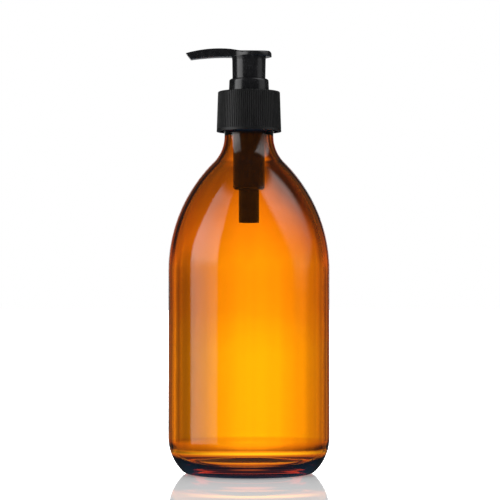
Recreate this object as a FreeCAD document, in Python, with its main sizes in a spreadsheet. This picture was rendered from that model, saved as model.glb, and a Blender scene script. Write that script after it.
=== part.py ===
# Soap pump dispenser: an amber glass bottle with a screw-on lotion pump.
#
# Frame: origin at the centre of the base, on the surface that the bottle stands on. +Z is up,
# and the nozzle points along -X. Millimetres.
#
# Every piece is turned about the Z axis, except the head, whose side and plan outlines are cut
# from one block. The glass and the closure carry a matching helical thread.
import FreeCAD, Part
import math
import os
import re
import Sketcher

# ---------------------------------------------------------------- driving dimensions
# name: (value in mm unless the note says otherwise, what it is)
DIMENSIONS = {
    # bottle, outside
    "body_radius": (38.5, "glass body, outside"),
    "heel_top": (17.5, "height where the heel's curve meets the straight body"),
    "heel_sweep": (23.0, "radius of the heel's large curve"),
    "foot_sweep": (5.0, "radius of the small curve that rolls onto the bearing ring"),
    "foot_flat": (1.5, "width of the flat bearing ring"),
    "shoulder_start": (96.6, "height where the straight body ends"),
    "shoulder_sweep": (72.8, "radius of the convex shoulder"),
    "neck_sweep": (17.4, "radius of the concave curve into the neck"),
    "neck_radius": (11.72, "neck, outside, under the closure"),
    "bead_low": (163.6, "underside of the bead below the thread"),
    "bead_high": (165.6, "top of the bead below the thread"),
    "bead_radius": (13.5, "bead below the thread"),
    "bead_chamfer": (0.6, "height of the bead's slanted edges"),
    "finish_radius": (12.55, "neck, outside, at the thread's root"),
    "glass_top": (178.4, "lip of the bottle"),
    "lip_outer_round": (0.8, "rounding of the lip's outer edge"),
    "lip_inner_round": (0.5, "rounding of the lip's inner edge"),
    # bottle, inside
    "glass_wall": (2.3, "wall of the body and shoulder"),
    "neck_bore_radius": (9.25, "bore of the neck"),
    "floor_height": (3.6, "inside floor at its outer edge"),
    "floor_crown": (7.6, "inside floor at the centre"),
    "floor_sweep": (10.0, "radius of the inside heel"),
    "punt_radius": (24.0, "pushed-up part of the base"),
    "punt_step": (1.6, "rise at the edge of the pushed-up part"),
    "punt_height": (4.6, "rise at the centre of the pushed-up part"),
    # thread, 8 to the inch
    "thread_pitch": (3.175, "rise in one turn"),
    "glass_thread_radius": (13.65, "crest of the glass thread"),
    "glass_thread_root": (1.05, "half width at the root"),
    "glass_thread_crest": (0.5, "half width at the crest"),
    "glass_thread_start": (168.3, "height of the lower end's middle"),
    "glass_thread_turns": (1.5, "turns, no unit"),
    "cap_thread_radius": (13.0, "crest of the closure's thread"),
    "cap_thread_root": (0.8, "half width at the root"),
    "cap_thread_crest": (0.35, "half width at the crest"),
    "cap_thread_turns": (1.25, "turns, no unit"),
    "thread_bite": (0.3, "how far a thread's root runs into its wall"),
    # closure
    "cap_low": (162.9, "lower edge"),
    "cap_high": (182.0, "top face"),
    "cap_low_radius": (15.46, "outside, at the lower edge"),
    "cap_high_radius": (14.85, "outside, at the top"),
    "cap_bore_radius": (14.05, "inside wall"),
    "cap_top_wall": (1.4, "thickness of the top wall"),
    "cap_hole_radius": (9.05, "centre hole"),
    "cap_edge": (0.5, "rounding of the top edge"),
    "cap_lip": (1.2, "height of the plain band below the ribs"),
    "rib_count": (90, "ribs, no unit"),
    "rib_depth": (0.28, "depth of the grooves between the ribs"),
    "rib_gap": (0.55, "width of a groove at the surface"),
    # gasket
    "gasket_inner": (9.4, "bore"),
    "gasket_outer": (12.9, "outside"),
    "gasket_height": (1.0, "thickness"),
    # pump housing
    "flange_radius": (12.9, "flange that rests on the gasket"),
    "flange_high": (180.5, "top of the flange"),
    "collar_radius": (8.95, "outside, through the closure and the neck"),
    "collar_bore": (8.3, "bore that the head's skirt slides into"),
    "collar_high": (186.9, "upper end"),
    "collar_low": (171.0, "height where the outside starts to narrow"),
    "ledge_height": (171.6, "ledge that the stem guide sits on"),
    "barrel_high": (169.2, "top of the cylinder's outside"),
    "barrel_radius": (7.55, "cylinder, outside"),
    "barrel_low": (134.8, "lower end of the cylinder"),
    "barrel_chamfer": (0.9, "chamfer of the cylinder's lower edge"),
    "cylinder_radius": (6.55, "cylinder, inside"),
    "cylinder_floor": (136.6, "floor of the cylinder"),
    "inlet_seat_radius": (3.2, "mouth of the inlet valve's seat"),
    "inlet_hole_radius": (1.5, "inlet hole"),
    "tail_radius": (4.875, "narrow tail, outside"),
    "tail_low": (119.2, "lower end of the tail"),
    "socket_top": (131.5, "depth of the dip tube's socket"),
    "vent_radius": (0.5, "air hole in the housing's wall"),
    "vent_height": (168.0, "height of the air hole"),
    # chaplet
    "chaplet_low": (182.08, "underside"),
    "chaplet_low_radius": (9.65, "outside, at the underside"),
    "chaplet_shoulder": (187.3, "where the chamfer starts"),
    "chaplet_shoulder_radius": (9.44, "outside, below the chamfer"),
    "chaplet_high": (188.05, "top face"),
    "chaplet_top_radius": (8.75, "outside, at the top face"),
    "chaplet_round": (1.1, "radius of the curve over the top edge"),
    "chaplet_bore": (8.3, "bore around the skirt"),
    # stem guide
    "guide_disc": (1.2, "thickness of the disc"),
    "guide_hub_radius": (4.6, "hub around the stem"),
    "guide_high": (174.4, "top of the hub"),
    "guide_bore": (3.56, "bore, a running fit on the stem"),
    # stem
    "stem_radius": (3.5, "stem, outside"),
    "stem_neck_radius": (3.0, "reduced length inside the piston seal"),
    "stem_bore": (1.8, "flow channel"),
    "stem_high": (195.5, "upper end"),
    "stem_flange_radius": (5.4, "flange under the piston seal"),
    "stem_flange_low": (162.0, "underside of the flange"),
    "stem_flange_high": (163.4, "top of the flange"),
    "outlet_hole_radius": (1.2, "hole under the outlet valve"),
    "outlet_seat_low": (190.6, "start of the outlet valve's seat"),
    "outlet_hole_low": (188.8, "lower end of the outlet hole"),
    "outlet_chamber": (2.3, "chamber around the outlet ball"),
    # piston seal
    "seal_low": (163.45, "lower edge"),
    "seal_high": (171.5, "upper edge"),
    "seal_bore": (3.06, "bore, a running fit on the stem"),
    "seal_lip_radius": (6.5, "sealing lips"),
    "seal_waist_radius": (5.3, "waist between the lips"),
    "seal_lip_height": (1.5, "height of a lip"),
    "seal_cup": (1.1, "depth of the hollow inside a lip"),
    "seal_lip_wall": (0.7, "thickness of a lip"),
    "seal_core_foot": (0.6, "step from the waist to the core, in the hollow"),
    "seal_core_end": (0.9, "step from the waist to the core, at its end"),
    "seal_gap": (0.05, "free play under the stem's shoulder"),
    # inlet valve
    "inlet_ball_radius": (2.4, "inlet ball"),
    "outlet_ball_radius": (2.0, "outlet ball"),
    "ball_lift": (0.02, "gap between a ball and its seat"),
    "cage_radius": (6.45, "ring that the spring stands on"),
    "cage_low": (136.62, "underside of the ring"),
    "cage_ring_high": (138.0, "top of the ring"),
    "cage_bore": (2.85, "inside of the cage"),
    "cage_hub_radius": (3.55, "outside of the cage"),
    "cage_roof_low": (140.9, "underside of the cage's roof"),
    "cage_high": (141.7, "top of the cage"),
    "cage_hole": (1.1, "hole in the roof"),
    "window_width": (1.6, "width of the cage's windows"),
    # spring
    "wire_radius": (0.45, "spring wire"),
    "coil_radius": (4.45, "middle of the coil"),
    "coil_turns": (7.0, "turns, no unit"),
    # dip tube
    "tube_radius": (3.5, "outside"),
    "tube_bore": (2.8, "inside"),
    "tube_low": (10.4, "lower end, above the crowned floor"),
    "tube_cut": (3.6, "rise of the slanted cut, from one side of its outline to the other"),
    # head
    "skirt_low": (185.5, "lower edge of the skirt"),
    "skirt_radius": (7.88, "skirt, outside, at its lower edge"),
    "skirt_high": (198.6, "where the skirt meets the pad"),
    "skirt_high_radius": (8.12, "skirt, outside, under the pad"),
    "skirt_bore": (7.0, "skirt, inside"),
    "skirt_overlap": (0.6, "how far the skirt runs up into the pad"),
    "socket_radius": (4.7, "stem socket, outside"),
    "socket_low": (189.5, "lower edge of the stem socket"),
    "socket_roof": (198.0, "inside roof of the skirt"),
    "pad_radius": (8.4, "thumb pad in plan"),
    "pad_centre": (2.5, "thumb pad's centre, behind the stem"),
    "pad_edge_low": (198.8, "underside of the pad's rear edge"),
    "pad_edge_high": (199.9, "top of the rear edge's upright face"),
    "pad_edge_round": (1.5, "rounding over the rear edge"),
    "pad_lip_start": (9.4, "where the rounding over the rear edge starts"),
    "pad_lip_height": (201.3, "top of the pad beside its rear edge"),
    "saddle_sweep": (75.0, "hollow of the thumb pad"),
    "saddle_front": (2.0, "front end of the hollow, ahead of the stem"),
    "saddle_front_height": (201.22, "top at the front end of the hollow"),
    "rise_sweep": (21.3, "concave curve out of the hollow"),
    "rise_start": (5.5, "where the hollow's rise turns convex, ahead of the stem"),
    "rise_height": (201.76, "top where the rise turns convex"),
    "brow_sweep": (29.5, "convex curve into the nozzle's arch"),
    "brow_start": (9.0, "where the nozzle's arch starts, ahead of the stem"),
    "brow_height": (202.38, "top where the nozzle's arch starts"),
    "arch_sweep": (59.0, "arch of the nozzle's top"),
    "tip_reach": (30.2, "tip of the nozzle, ahead of the stem"),
    "tip_high": (200.4, "upper edge of the tip"),
    "tip_heel_reach": (27.85, "lower edge of the tip, ahead of the stem"),
    "tip_low": (197.4, "lower edge of the tip"),
    "belly_reach": (11.0, "where the nozzle's underside turns level"),
    "belly_height": (198.65, "underside of the nozzle's root"),
    "belly_sweep": (118.0, "arch of the nozzle's underside"),
    "nozzle_half_width": (3.7, "half width of the nozzle at its root"),
    "tip_half_width": (3.0, "half width of the nozzle at its tip"),
    "plan_fillet": (7.0, "concave curve from the nozzle into the pad"),
    "tip_round": (1.2, "rounding of the tip's corners in plan"),
    "head_edge": (0.7, "rounding of the head's upper edges"),
    "head_block": (24.0, "width of the block that the head is cut from"),
    "cut_margin": (2.0, "how far a cutting outline passes its piece"),
    "tip_margin": (0.02, "how far the plan outline passes the tip"),
    "channel_radius": (1.1, "nozzle channel"),
    "channel_height": (199.4, "height of the channel over the stem"),
    "channel_exit": (198.7, "height of the channel at the tip"),
    "channel_reach": (31.5, "length of the channel, past the tip"),
    "channel_sweep": (73.0, "arch of the channel"),
    "riser_radius": (1.6, "hole from the stem up to the channel"),
}

SHEET = "Dimensions"
FULL_TURN = 360
EDGE_LEAST = 1.0  # least length, and distance off the middle, of a head edge that is rounded
EDGE_SLACK = 0.1

document = FreeCAD.newDocument("soap_pump_dispenser")
sheet = document.addObject("Spreadsheet::Sheet", SHEET)
for row, (alias, (value, note)) in enumerate(DIMENSIONS.items(), start=1):
    sheet.set(f"A{row}", alias)
    sheet.set(f"B{row}", str(value))
    sheet.set(f"C{row}", note)
    sheet.setAlias(f"B{row}", alias)
document.recompute()


# ---------------------------------------------------------------- helpers
def bound(expression):
    """The expression with the sheet's name before each of its aliases."""
    return re.sub(
        r"[a-z_]+",
        lambda word: f"{SHEET}.{word[0]}" if word[0] in DIMENSIONS else word[0],
        str(expression),
    )


def value_of(owner, expression):
    """The number that an expression gives now."""
    return float(owner.evalExpression(bound(expression)))


def origin_plane(body, role):
    """One of the body's own origin planes, such as XZ_Plane."""
    for feature in body.Origin.OriginFeatures:
        if feature.Role == role:
            return feature
    raise ValueError(f"{body.Label} has no {role}")


def new_body(label):
    """A PartDesign body whose label names the piece."""
    body = document.addObject("PartDesign::Body", label)
    body.Label = label
    return body


def new_sketch(body, name, role="XZ_Plane"):
    """A sketch on one of the body's origin planes."""
    sketch = body.newObject("Sketcher::SketchObject", name)
    sketch.AttachmentSupport = [(origin_plane(body, role), "")]
    sketch.MapMode = "FlatFace"
    document.recompute()
    return sketch


def bind(sketch, constraint, expression):
    """Adds a dimensional constraint and ties it to the sheet."""
    index = sketch.addConstraint(constraint)
    sketch.setExpression(f"Constraints[{index}]", bound(expression))


def arc_between(start, end, radius, bulge):
    """The arc of a radius from start to end. bulge is 1 to pass on the left, -1 on the right."""
    chord = end - start
    rise = (radius**2 - (chord.Length / 2) ** 2) ** 0.5
    right = FreeCAD.Vector(chord.y, -chord.x, 0).normalize()
    centre = (start + end) / 2 + right * bulge * rise
    first, last = (end, start) if bulge > 0 else (start, end)
    angles = [math.atan2(point.y - centre.y, point.x - centre.x) for point in (first, last)]
    if angles[1] < angles[0]:
        angles[1] += 2 * math.pi
    return Part.ArcOfCircle(Part.Circle(centre, FreeCAD.Vector(0, 0, 1), radius), *angles)


def outline(sketch, steps, closed=True):
    """Draws and pins a chain of lines and arcs.

    Each step is (x, y) for a straight line to that corner, or (x, y, radius, bulge) for an arc to
    it. The values are expressions in the sheet's aliases. A closed outline returns to its start,
    and its first step says how.
    """
    corners = []
    for step in steps:
        corner = FreeCAD.Vector(value_of(sketch, step[0]), value_of(sketch, step[1]), 0)
        corners.append(corner)
    first = len(sketch.Geometry)
    count = len(steps) if closed else len(steps) - 1
    for number in range(count):
        start = corners[number]
        following = (number + 1) % len(steps)
        end = corners[following]
        step = steps[following]
        if len(step) == 2:
            sketch.addGeometry(Part.LineSegment(start, end), False)
        else:
            arc = arc_between(start, end, value_of(sketch, step[2]), step[3])
            sketch.addGeometry(arc, False)
    ends = [edge_ends(sketch, first + number, corners[number]) for number in range(count)]
    for number in range(count):
        following = (number + 1) % count
        if closed or number < count - 1:
            joint = Sketcher.Constraint(
                "Coincident",
                first + number,
                ends[number][1],
                first + following,
                ends[following][0],
            )
            sketch.addConstraint(joint)
    for number, corner in enumerate(corners):
        if number < count:
            edge, vertex = first + number, ends[number][0]
        else:
            edge, vertex = first + number - 1, ends[number - 1][1]
        for axis, along in (("DistanceX", corner.x), ("DistanceY", corner.y)):
            rule = steps[number][0] if axis == "DistanceX" else steps[number][1]
            bind(sketch, Sketcher.Constraint(axis, -1, 1, edge, vertex, along), rule)
    for number in range(count):
        step = steps[(number + 1) % len(steps)]
        if len(step) > 2:
            radius = value_of(sketch, step[2])
            bind(sketch, Sketcher.Constraint("Radius", first + number, radius), step[2])


def edge_ends(sketch, index, start):
    """Which vertex of an edge is its first and which its last: (1, 2), or (2, 1) if reversed."""
    geometry = sketch.Geometry[index]
    if (geometry.StartPoint - start).Length < (geometry.EndPoint - start).Length:
        return 1, 2
    return 2, 1


def circle(sketch, across, up, radius):
    """Draws and pins a circle."""
    centre = FreeCAD.Vector(value_of(sketch, across), value_of(sketch, up), 0)
    size = value_of(sketch, radius)
    index = sketch.addGeometry(Part.Circle(centre, FreeCAD.Vector(0, 0, 1), size), False)
    bind(sketch, Sketcher.Constraint("DistanceX", -1, 1, index, 3, centre.x), across)
    bind(sketch, Sketcher.Constraint("DistanceY", -1, 1, index, 3, centre.y), up)
    bind(sketch, Sketcher.Constraint("Radius", index, size), radius)


def turn(body, name, steps, kind="Revolution"):
    """Revolves an outline of (radius, height) steps about Z, adding or, as a Groove, cutting."""
    sketch = new_sketch(body, f"{name}_outline")
    outline(sketch, steps)
    feature = body.newObject(f"PartDesign::{kind}", name)
    feature.Profile = sketch
    feature.ReferenceAxis = (sketch, ["V_Axis"])
    feature.Angle = FULL_TURN
    document.recompute()
    return feature


def thread(body, name, steps, turns):
    """Winds an outline of (radius, height) steps up a right-hand helix of the thread's pitch."""
    sketch = new_sketch(body, f"{name}_section")
    outline(sketch, steps)
    helix = body.newObject("PartDesign::AdditiveHelix", name)
    helix.Profile = sketch
    helix.ReferenceAxis = (sketch, ["V_Axis"])
    helix.Mode = "pitch-turns-angle"
    helix.LeftHanded = False
    helix.Reversed = False
    helix.setExpression("Pitch", bound("thread_pitch"))
    helix.setExpression("Turns", bound(turns))
    document.recompute()


# ---------------------------------------------------------------- bottle
def cap_radius(edge, rise):
    """Radius of the sphere of which a cap has this edge radius and this rise."""
    return f"({edge}^2 + {rise}^2) / (2 * {rise})"


def make_bottle():
    body = new_body("bottle")
    floor_edge = "(body_radius - glass_wall - floor_sweep)"
    heel_centre = "(body_radius - heel_sweep)"
    foot_offset = "(heel_sweep - foot_sweep)"
    foot_drop = "(heel_top - foot_sweep)"
    foot_run = f"sqrt({foot_offset}^2 - {foot_drop}^2)"
    ring_radius = f"({heel_centre} + {foot_run})"
    heel_share = f"heel_sweep / {foot_offset}"
    shoulder_centre = "(body_radius - shoulder_sweep)"
    sweeps = "(shoulder_sweep + neck_sweep)"
    across = f"(neck_radius + neck_sweep - {shoulder_centre})"
    climb = f"sqrt({sweeps}^2 - {across}^2)"
    outer_share = f"shoulder_sweep / {sweeps}"
    inner_share = f"(shoulder_sweep - glass_wall) / {sweeps}"
    turn(
        body,
        "glass",
        [
            ("0", "floor_crown", cap_radius(floor_edge, "(floor_crown - floor_height)"), -1),
            ("0", "punt_height"),
            (
                "punt_radius",
                "punt_step",
                cap_radius("punt_radius", "(punt_height - punt_step)"),
                1,
            ),
            (
                f"{ring_radius} - foot_flat",
                "0",
                cap_radius(f"({ring_radius} - foot_flat - punt_radius)", "punt_step"),
                -1,
            ),
            (ring_radius, "0"),
            (
                f"{heel_centre} + {foot_run} * {heel_share}",
                f"heel_top - {foot_drop} * {heel_share}",
                "foot_sweep",
                -1,
            ),
            ("body_radius", "heel_top", "heel_sweep", -1),
            ("body_radius", "shoulder_start"),
            (
                f"{shoulder_centre} + {across} * {outer_share}",
                f"shoulder_start + {climb} * {outer_share}",
                "shoulder_sweep",
                -1,
            ),
            ("neck_radius", f"shoulder_start + {climb}", "neck_sweep", 1),
            ("neck_radius", "bead_low"),
            ("bead_radius", "bead_low + bead_chamfer"),
            ("bead_radius", "bead_high - bead_chamfer"),
            ("finish_radius", "bead_high"),
            ("finish_radius", "glass_top - lip_outer_round"),
            ("finish_radius - lip_outer_round", "glass_top", "lip_outer_round", -1),
            ("neck_bore_radius + lip_inner_round", "glass_top"),
            ("neck_bore_radius", "glass_top - lip_inner_round", "lip_inner_round", -1),
            ("neck_bore_radius", f"shoulder_start + {climb}"),
            (
                f"{shoulder_centre} + {across} * {inner_share}",
                f"shoulder_start + {climb} * {inner_share}",
                "neck_sweep + neck_radius - neck_bore_radius",
                -1,
            ),
            ("body_radius - glass_wall", "shoulder_start", "shoulder_sweep - glass_wall", 1),
            ("body_radius - glass_wall", "floor_height + floor_sweep"),
            (floor_edge, "floor_height", "floor_sweep", 1),
        ],
    )
    thread(
        body,
        "finish_thread",
        thread_section(
            "finish_radius - thread_bite",
            "glass_thread_radius",
            "glass_thread_start",
            "glass_thread_root",
            "glass_thread_crest",
        ),
        "glass_thread_turns",
    )
    return body


def thread_section(root, crest, height, root_half, crest_half):
    """A trapezium from its root radius to its crest radius, at a height."""
    return [
        (root, f"{height} - {root_half}"),
        (crest, f"{height} - {crest_half}"),
        (crest, f"{height} + {crest_half}"),
        (root, f"{height} + {root_half}"),
    ]


# ---------------------------------------------------------------- closure
def make_closure():
    body = new_body("closure")
    turn(
        body,
        "shell",
        [
            ("cap_bore_radius", "cap_low"),
            ("cap_low_radius", "cap_low"),
            ("cap_high_radius", "cap_high - cap_edge"),
            ("cap_high_radius - cap_edge", "cap_high", "cap_edge", -1),
            ("cap_hole_radius", "cap_high"),
            ("cap_hole_radius", "cap_high - cap_top_wall"),
            ("cap_bore_radius", "cap_high - cap_top_wall"),
        ],
    )
    thread(
        body,
        "cap_thread",
        thread_section(
            "cap_bore_radius + thread_bite",
            "cap_thread_radius",
            "glass_thread_start + thread_pitch / 2",
            "cap_thread_root",
            "cap_thread_crest",
        ),
        "cap_thread_turns",
    )
    cut_rib_grooves(body)
    return body


def cut_rib_grooves(body):
    """Upright V grooves around the closure, which follow its taper and leave a plain lower band."""
    slope = "(cap_high_radius - cap_low_radius) / (cap_high - cap_edge - cap_low)"
    levels = {
        "groove_foot": "cap_low + cap_lip",
        "groove_head": "cap_high + cap_edge",
    }
    sections = []
    for name, level in levels.items():
        sketch = new_sketch(body, name, "XY_Plane")
        sketch.setExpression("AttachmentOffset.Base.z", bound(level))
        document.recompute()
        surface = f"(cap_low_radius + {slope} * ({level} - cap_low))"
        outline(
            sketch,
            [
                (f"{surface} - rib_depth", "0"),
                (f"{surface} + rib_depth", "-rib_gap"),
                (f"{surface} + rib_depth", "rib_gap"),
            ],
        )
        sections.append(sketch)
    document.recompute()
    groove = body.newObject("PartDesign::SubtractiveLoft", "groove")
    groove.Profile = sections[0]
    groove.Sections = [sections[1]]
    groove.Ruled = True
    document.recompute()
    pattern = body.newObject("PartDesign::PolarPattern", "grooves")
    pattern.Originals = [groove]
    pattern.Axis = (sections[0], ["N_Axis"])
    pattern.Angle = FULL_TURN
    pattern.setExpression("Occurrences", bound("rib_count"))
    body.Tip = pattern
    document.recompute()


# ---------------------------------------------------------------- gasket
def make_gasket():
    body = new_body("gasket")
    turn(
        body,
        "ring",
        [
            ("gasket_inner", "glass_top"),
            ("gasket_outer", "glass_top"),
            ("gasket_outer", "glass_top + gasket_height"),
            ("gasket_inner", "glass_top + gasket_height"),
        ],
    )
    return body


# ---------------------------------------------------------------- pump housing
def make_pump_housing():
    body = new_body("pump_housing")
    turn(
        body,
        "barrel",
        [
            ("tube_radius", "tail_low"),
            ("tail_radius", "tail_low"),
            ("tail_radius", "barrel_low"),
            ("barrel_radius - barrel_chamfer", "barrel_low"),
            ("barrel_radius", "barrel_low + barrel_chamfer"),
            ("barrel_radius", "barrel_high"),
            ("collar_radius", "collar_low"),
            ("collar_radius", "glass_top + gasket_height"),
            ("flange_radius", "glass_top + gasket_height"),
            ("flange_radius", "flange_high"),
            ("collar_radius", "flange_high"),
            ("collar_radius", "collar_high"),
            ("collar_bore", "collar_high"),
            ("collar_bore", "ledge_height"),
            ("cylinder_radius", "ledge_height"),
            ("cylinder_radius", "cylinder_floor"),
            ("inlet_seat_radius", "cylinder_floor"),
            (
                "inlet_hole_radius",
                "cylinder_floor - inlet_seat_radius + inlet_hole_radius",
            ),
            ("inlet_hole_radius", "socket_top"),
            ("tube_radius", "socket_top"),
        ],
    )
    vent = new_sketch(body, "vent_outline", "YZ_Plane")
    circle(vent, "0", "vent_height", "vent_radius")
    hole = body.newObject("PartDesign::Pocket", "vent")
    hole.Profile = vent
    hole.Type = "Length"
    hole.Reversed = True
    hole.setExpression("Length", bound("collar_radius"))
    document.recompute()
    return body


# ---------------------------------------------------------------- chaplet and stem guide
def make_chaplet():
    body = new_body("chaplet")
    turn(
        body,
        "ring",
        [
            ("collar_radius", "chaplet_low"),
            ("chaplet_low_radius", "chaplet_low"),
            ("chaplet_shoulder_radius", "chaplet_shoulder"),
            ("chaplet_top_radius", "chaplet_high", "chaplet_round", -1),
            ("chaplet_bore", "chaplet_high"),
            ("chaplet_bore", "collar_high"),
            ("collar_radius", "collar_high"),
        ],
    )
    return body


def make_stem_guide():
    body = new_body("stem_guide")
    turn(
        body,
        "bush",
        [
            ("guide_bore", "ledge_height"),
            ("collar_bore", "ledge_height"),
            ("collar_bore", "ledge_height + guide_disc"),
            ("guide_hub_radius", "ledge_height + guide_disc"),
            ("guide_hub_radius", "guide_high"),
            ("guide_bore", "guide_high"),
        ],
    )
    return body


# ---------------------------------------------------------------- stem and piston seal
def make_stem():
    body = new_body("stem")
    turn(
        body,
        "rod",
        [
            ("stem_bore", "stem_flange_low"),
            ("stem_flange_radius", "stem_flange_low"),
            ("stem_flange_radius", "stem_flange_high"),
            ("stem_neck_radius", "stem_flange_high"),
            ("stem_neck_radius", "seal_high + seal_gap"),
            ("stem_radius", "seal_high + seal_gap"),
            ("stem_radius", "stem_high"),
            ("outlet_chamber", "stem_high"),
            ("outlet_chamber", "outlet_seat_low + outlet_chamber - outlet_hole_radius"),
            ("outlet_hole_radius", "outlet_seat_low"),
            ("outlet_hole_radius", "outlet_hole_low"),
            ("stem_bore", "outlet_hole_low - stem_bore + outlet_hole_radius"),
        ],
    )
    return body


def make_piston_seal():
    body = new_body("piston_seal")
    turn(
        body,
        "sleeve",
        [
            ("seal_bore", "seal_low"),
            ("seal_waist_radius - seal_core_end", "seal_low"),
            ("seal_waist_radius - seal_core_foot", "seal_low + seal_cup"),
            ("seal_waist_radius", "seal_low + seal_cup"),
            ("seal_lip_radius - seal_lip_wall", "seal_low"),
            ("seal_lip_radius", "seal_low"),
            ("seal_lip_radius", "seal_low + seal_lip_height"),
            ("seal_waist_radius", "seal_low + seal_lip_height * 2"),
            ("seal_waist_radius", "seal_high - seal_lip_height * 2"),
            ("seal_lip_radius", "seal_high - seal_lip_height"),
            ("seal_lip_radius", "seal_high"),
            ("seal_lip_radius - seal_lip_wall", "seal_high"),
            ("seal_waist_radius", "seal_high - seal_cup"),
            ("seal_waist_radius - seal_core_foot", "seal_high - seal_cup"),
            ("seal_waist_radius - seal_core_end", "seal_high"),
            ("seal_bore", "seal_high"),
        ],
    )
    return body


# ---------------------------------------------------------------- valves
def seated_ball_height(hole_radius, seat_low, ball_radius):
    """Height of the centre of a ball that rests on a 45 degree seat above its hole."""
    return f"({seat_low} - {hole_radius} + ({ball_radius} + ball_lift) * sqrt(2))"


def make_ball(label, centre, ball_radius):
    ball = document.addObject("Part::Sphere", label)
    ball.Label = label
    ball.setExpression("Radius", bound(ball_radius))
    ball.setExpression("Placement.Base.z", bound(centre))
    document.recompute()
    return ball


def make_inlet_ball():
    seat_low = "(cylinder_floor - inlet_seat_radius + inlet_hole_radius)"
    centre = seated_ball_height("inlet_hole_radius", seat_low, "inlet_ball_radius")
    return make_ball("inlet_ball", centre, "inlet_ball_radius")


def make_outlet_ball():
    centre = seated_ball_height("outlet_hole_radius", "outlet_seat_low", "outlet_ball_radius")
    return make_ball("outlet_ball", centre, "outlet_ball_radius")


def make_ball_cage():
    body = new_body("ball_cage")
    turn(
        body,
        "cage",
        [
            ("cage_bore", "cage_low"),
            ("cage_radius", "cage_low"),
            ("cage_radius", "cage_ring_high"),
            ("cage_hub_radius", "cage_ring_high"),
            ("cage_hub_radius", "cage_high"),
            ("cage_hole", "cage_high"),
            ("cage_hole", "cage_roof_low"),
            ("cage_bore", "cage_roof_low"),
        ],
    )
    for number, role in enumerate(("YZ_Plane", "XZ_Plane"), start=1):
        sketch = new_sketch(body, f"window_outline_{number}", role)
        outline(
            sketch,
            [
                ("-window_width / 2", "cage_ring_high"),
                ("window_width / 2", "cage_ring_high"),
                ("window_width / 2", "cage_roof_low"),
                ("-window_width / 2", "cage_roof_low"),
            ],
        )
        window = body.newObject("PartDesign::Pocket", f"windows_{number}")
        window.Profile = sketch
        window.Type = "ThroughAll"
        window.Midplane = True
        document.recompute()
    return body


def make_return_spring():
    body = new_body("return_spring")
    sketch = new_sketch(body, "wire_section")
    circle(sketch, "coil_radius", "cage_ring_high + wire_radius", "wire_radius")
    coil = body.newObject("PartDesign::AdditiveHelix", "coil")
    coil.Profile = sketch
    coil.ReferenceAxis = (sketch, ["V_Axis"])
    coil.Mode = "height-turns-angle"
    coil.LeftHanded = False
    coil.Reversed = False
    coil.setExpression("Height", bound("stem_flange_low - cage_ring_high - wire_radius * 2"))
    coil.setExpression("Turns", bound("coil_turns"))
    document.recompute()
    return body


# ---------------------------------------------------------------- dip tube
def make_dip_tube():
    body = new_body("dip_tube")
    turn(
        body,
        "tube",
        [
            ("tube_bore", "tube_low"),
            ("tube_radius", "tube_low"),
            ("tube_radius", "socket_top"),
            ("tube_bore", "socket_top"),
        ],
    )
    sketch = new_sketch(body, "slanted_cut")
    outline(
        sketch,
        [
            ("-tube_radius - cut_margin", "tube_low - cut_margin"),
            ("tube_radius + cut_margin", "tube_low - cut_margin"),
            ("tube_radius + cut_margin", "tube_low + tube_cut"),
            ("-tube_radius - cut_margin", "tube_low"),
        ],
    )
    cut = body.newObject("PartDesign::Pocket", "mouth")
    cut.Profile = sketch
    cut.Type = "ThroughAll"
    cut.Midplane = True
    document.recompute()
    return body


# ---------------------------------------------------------------- actuator head
def make_actuator_head():
    body = new_body("actuator_head")
    side = new_sketch(body, "side_outline")
    outline(
        side,
        [
            ("-tip_heel_reach", "tip_low"),
            ("-belly_reach", "belly_height", "belly_sweep", 1),
            ("pad_centre", "belly_height"),
            ("pad_centre + pad_radius", "pad_edge_low"),
            ("pad_centre + pad_radius", "pad_edge_high"),
            ("pad_lip_start", "pad_lip_height", "pad_edge_round", -1),
            ("-saddle_front", "saddle_front_height", "saddle_sweep", 1),
            ("-rise_start", "rise_height", "rise_sweep", 1),
            ("-brow_start", "brow_height", "brow_sweep", -1),
            ("-tip_reach", "tip_high", "arch_sweep", -1),
        ],
    )
    block = body.newObject("PartDesign::Pad", "block")
    block.Profile = side
    block.Midplane = True
    block.setExpression("Length", bound("head_block"))
    document.recompute()
    cut_plan_outline(body)
    round_top_edges(body)
    turn(
        body,
        "skirt",
        [
            ("skirt_bore", "skirt_low"),
            ("skirt_radius", "skirt_low"),
            ("skirt_high_radius", "skirt_high"),
            ("skirt_high_radius", "skirt_high + skirt_overlap"),
            ("0", "skirt_high + skirt_overlap"),
            ("0", "socket_roof"),
            ("skirt_bore", "socket_roof"),
        ],
    )
    turn(
        body,
        "stem_socket",
        [
            ("stem_radius", "socket_low"),
            ("socket_radius", "socket_low"),
            ("socket_radius", "skirt_high"),
            ("0", "skirt_high"),
            ("0", "stem_high"),
            ("stem_radius", "stem_high"),
        ],
    )
    turn(
        body,
        "riser",
        [
            ("0", "stem_high"),
            ("riser_radius", "stem_high"),
            ("riser_radius", "channel_height + channel_radius"),
            ("0", "channel_height + channel_radius"),
        ],
        "Groove",
    )
    cut_channel(body)
    return body


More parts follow.
